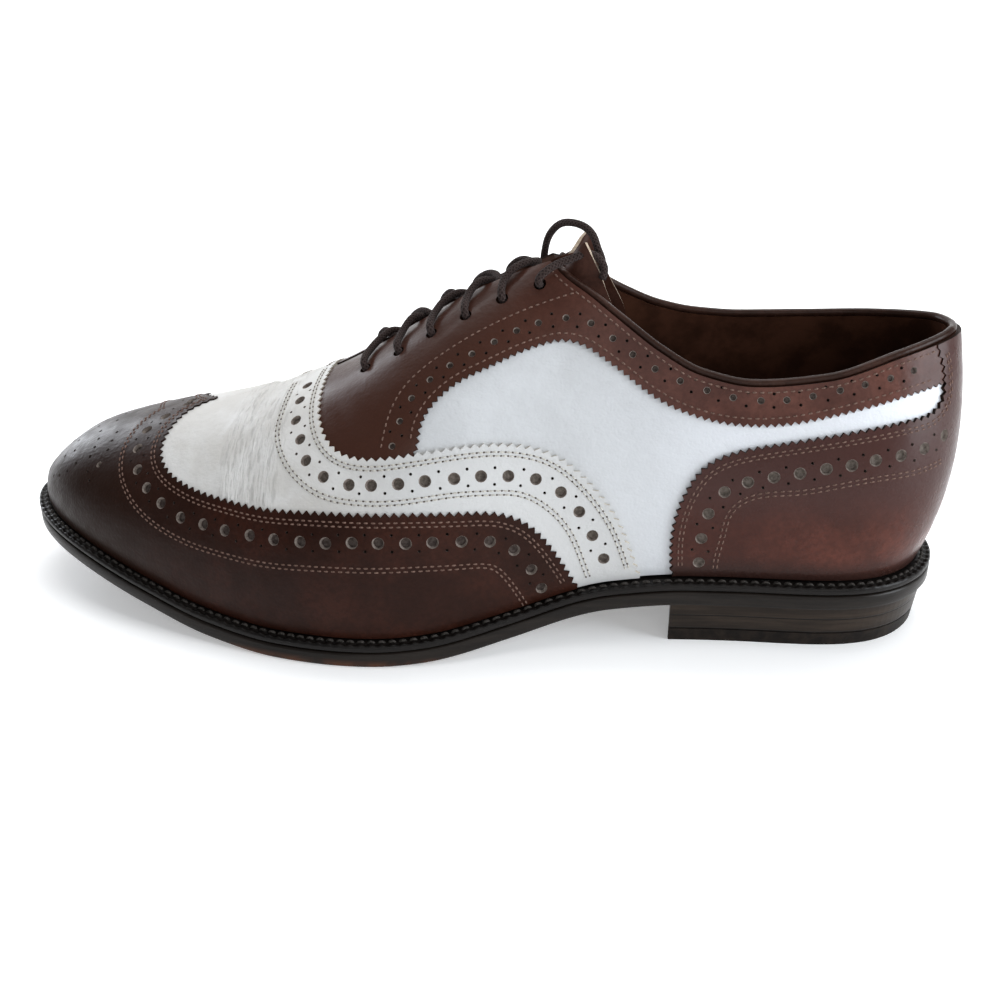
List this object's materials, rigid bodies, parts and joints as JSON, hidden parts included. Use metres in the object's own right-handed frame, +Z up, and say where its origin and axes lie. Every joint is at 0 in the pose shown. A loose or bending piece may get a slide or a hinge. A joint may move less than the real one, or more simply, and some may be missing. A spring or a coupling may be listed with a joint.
{
  "type": "spectator shoe",
  "caption": "Two-tone wingtip oxford, left shoe, with brogued brown and white leather, stitched leather sole and low stacked heel.",
  "frame": {"origin": "on the floor under the middle of the heel's top piece", "axes": "+X from heel to toe, +Y to the outer side of the left foot, +Z up"},
  "size_m": [0.304, 0.1098, 0.121],
  "materials": {
    "sole_leather": "dark stained edge, half gloss",
    "welt_leather": "dark, wheel marked",
    "heel_leather": "dark stained, half gloss",
    "heel_rubber": "matt",
    "insole_leather": "matt",
    "white_leather": "smooth, half gloss",
    "brown_leather": "polished",
    "binding_leather": "polished",
    "tongue_leather": "matt",
    "lace_cotton": "waxed cotton"
  },
  "bodies": {
    "root": {"outsole": "sole_leather", "welt": "welt_leather", "heel_stack": "heel_leather", "heel_top_piece": "heel_rubber", "insole": "insole_leather", "upper": "white_leather", "wingtip_cap": "brown_leather", "vamp": "white_leather", "facing_outer": "brown_leather", "facing_inner": "brown_leather", "counter": "brown_leather", "collar_binding": "binding_leather", "tongue": "tongue_leather", "lace_bar_1": "lace_cotton", "lace_bar_2": "lace_cotton", "lace_bar_3": "lace_cotton", "lace_bar_4": "lace_cotton", "lace_bar_5": "lace_cotton", "lace_end_outer": "lace_cotton", "lace_end_inner": "lace_cotton"}
  },
  "joints": []
}
